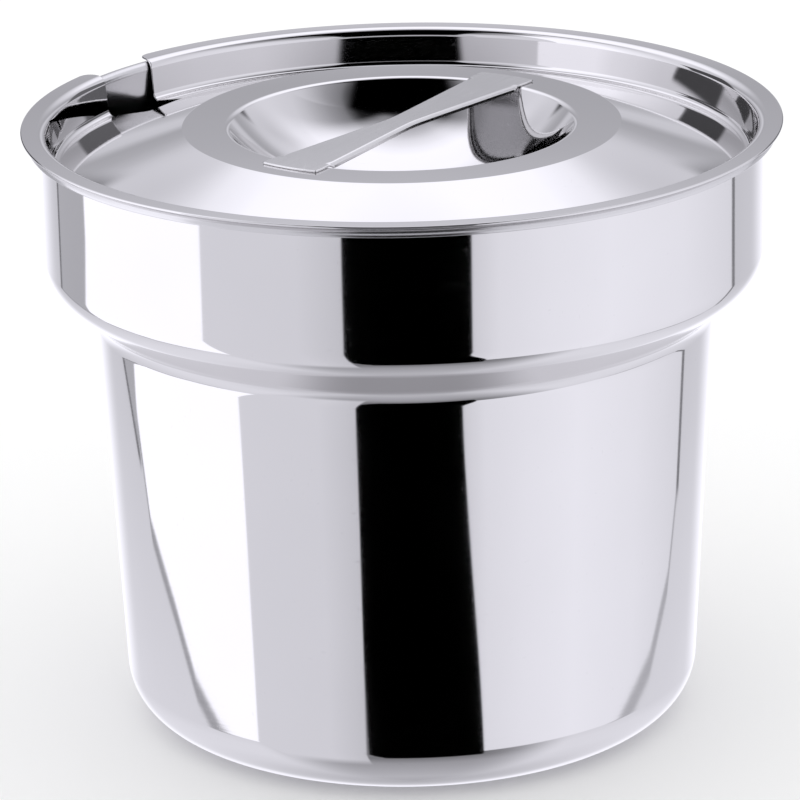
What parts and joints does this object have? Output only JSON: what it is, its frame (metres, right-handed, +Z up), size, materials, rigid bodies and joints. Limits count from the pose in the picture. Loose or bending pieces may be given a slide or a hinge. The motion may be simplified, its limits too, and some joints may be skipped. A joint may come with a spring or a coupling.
{
  "type": "soup kettle",
  "caption": "Round stepped steel inset vessel with a rolled lip, and a recessed lift-off lid with a ladle notch and a strap handle across a finger dish.",
  "frame": {"origin": "centre of the pot's flat base, on the surface that it stands on", "axes": "+Z up along the pot's axis, -X towards the lid's ladle notch, Y along the strap handle"},
  "size_m": [0.2555, 0.256, 0.208],
  "materials": {
    "pot_steel": "mirror polished stainless steel",
    "lid_steel": "mirror polished stainless steel",
    "strap_steel": "fine polished strap with a lengthwise grain"
  },
  "bodies": {
    "pot": {"pot": "pot_steel"},
    "lid": {"lid": "lid_steel", "handle": "strap_steel"}
  },
  "joints": [
    {"name": "lid_lift", "type": "slide", "parent": "pot", "child": "lid", "axis": [0, 0, 1], "range_m": [0, 0.12]}
  ]
}
